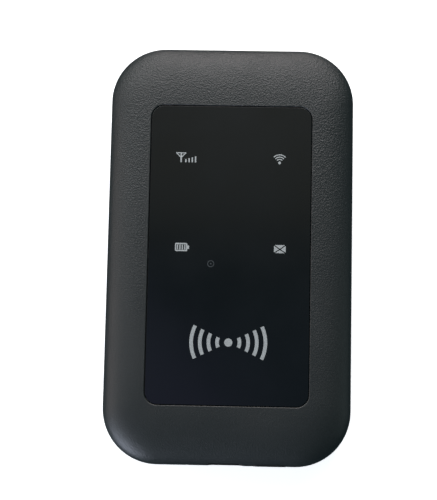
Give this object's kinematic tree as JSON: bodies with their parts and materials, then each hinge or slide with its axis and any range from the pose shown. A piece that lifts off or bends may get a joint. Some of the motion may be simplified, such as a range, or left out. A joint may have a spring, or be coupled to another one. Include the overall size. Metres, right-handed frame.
{
  "type": "mobile hotspot",
  "caption": "Pocket mobile hotspot: rounded flat case with a gloss status window, sprung side key, power inlet, and a lift-off back over a removable battery.",
  "frame": {"origin": "centre of the back cover's flat face, which the hotspot lies on", "axes": "+X across the width, +Y towards the end away from the power inlet, +Z out of the window"},
  "size_m": [0.058, 0.099, 0.014],
  "materials": {
    "textured_plastic": "fine spark texture",
    "black_plastic": "satin",
    "gloss_black": "polished",
    "tape": "matt foam tape",
    "clear_plastic": "clear",
    "led": "clear resin over phosphor",
    "circuit_board": "green solder mask",
    "tinned_steel": "tinned",
    "chip_resin": "moulded",
    "screw_steel": "zinc plated",
    "gold_contact": "gold plated",
    "flex_circuit": "polyimide film",
    "battery_wrap": "printed film",
    "white_label": "blank"
  },
  "bodies": {
    "cover": {"back_cover": "textured_plastic"},
    "housing": {"front_housing": "textured_plastic", "rear_housing": "black_plastic", "usb_tongue": "black_plastic", "power_switch_body": "black_plastic", "reset_switch_body": "black_plastic", "battery_contact_block": "black_plastic", "display_window": "gloss_black", "window_adhesive": "tape", "light_pipe_signal": "clear_plastic", "light_pipe_wireless": "clear_plastic", "light_pipe_battery": "clear_plastic", "light_pipe_message": "clear_plastic", "led_signal": "led", "led_wireless": "led", "led_battery": "led", "led_message": "led", "main_board": "circuit_board", "baseband_shield": "tinned_steel", "radio_shield": "tinned_steel", "crystal": "tinned_steel", "usb_shell": "tinned_steel", "sim_socket": "tinned_steel", "memory_card_socket": "tinned_steel", "baseband_chip": "chip_resin", "memory_chip": "chip_resin", "radio_chip": "chip_resin", "power_amplifier": "chip_resin", "wireless_chip": "chip_resin", "power_chip": "chip_resin", "inductor": "chip_resin", "housing_screw_1": "screw_steel", "housing_screw_2": "screw_steel", "housing_screw_3": "screw_steel", "housing_screw_4": "screw_steel", "board_screw_1": "screw_steel", "board_screw_2": "screw_steel", "battery_contact_1": "gold_contact", "battery_contact_2": "gold_contact", "battery_contact_3": "gold_contact", "main_antenna_clip": "gold_contact", "diversity_antenna_clip": "gold_contact", "wireless_antenna_clip": "gold_contact", "main_antenna": "flex_circuit", "diversity_antenna": "flex_circuit", "wireless_antenna": "flex_circuit", "rating_label": "white_label"},
    "battery": {"battery_pack": "battery_wrap", "battery_label": "white_label", "battery_terminal_1": "gold_contact", "battery_terminal_2": "gold_contact", "battery_terminal_3": "gold_contact"},
    "power_key": {"power_button": "black_plastic", "power_switch_plunger": "black_plastic"},
    "reset_key": {"reset_switch_plunger": "black_plastic"}
  },
  "joints": [
    {"name": "case_lift", "type": "slide", "parent": "cover", "child": "housing", "axis": [0, 0, 1], "range_m": [0, 0.024]},
    {"name": "battery_lift", "type": "slide", "parent": "cover", "child": "battery", "axis": [0, 0, 1], "range_m": [0, 0.012]},
    {"name": "power_press", "type": "slide", "parent": "housing", "child": "power_key", "axis": [0, 1, 0], "range_m": [0, 0.0003], "stiffness_N_per_m": 600, "springref_m": -0.001},
    {"name": "reset_press", "type": "slide", "parent": "housing", "child": "reset_key", "axis": [0, 1, 0], "range_m": [0, 0.00025], "stiffness_N_per_m": 400, "springref_m": -0.001}
  ],
  "couplings": [
    {"joint": "battery_lift", "follows": "case_lift", "ratio": 0.5}
  ]
}
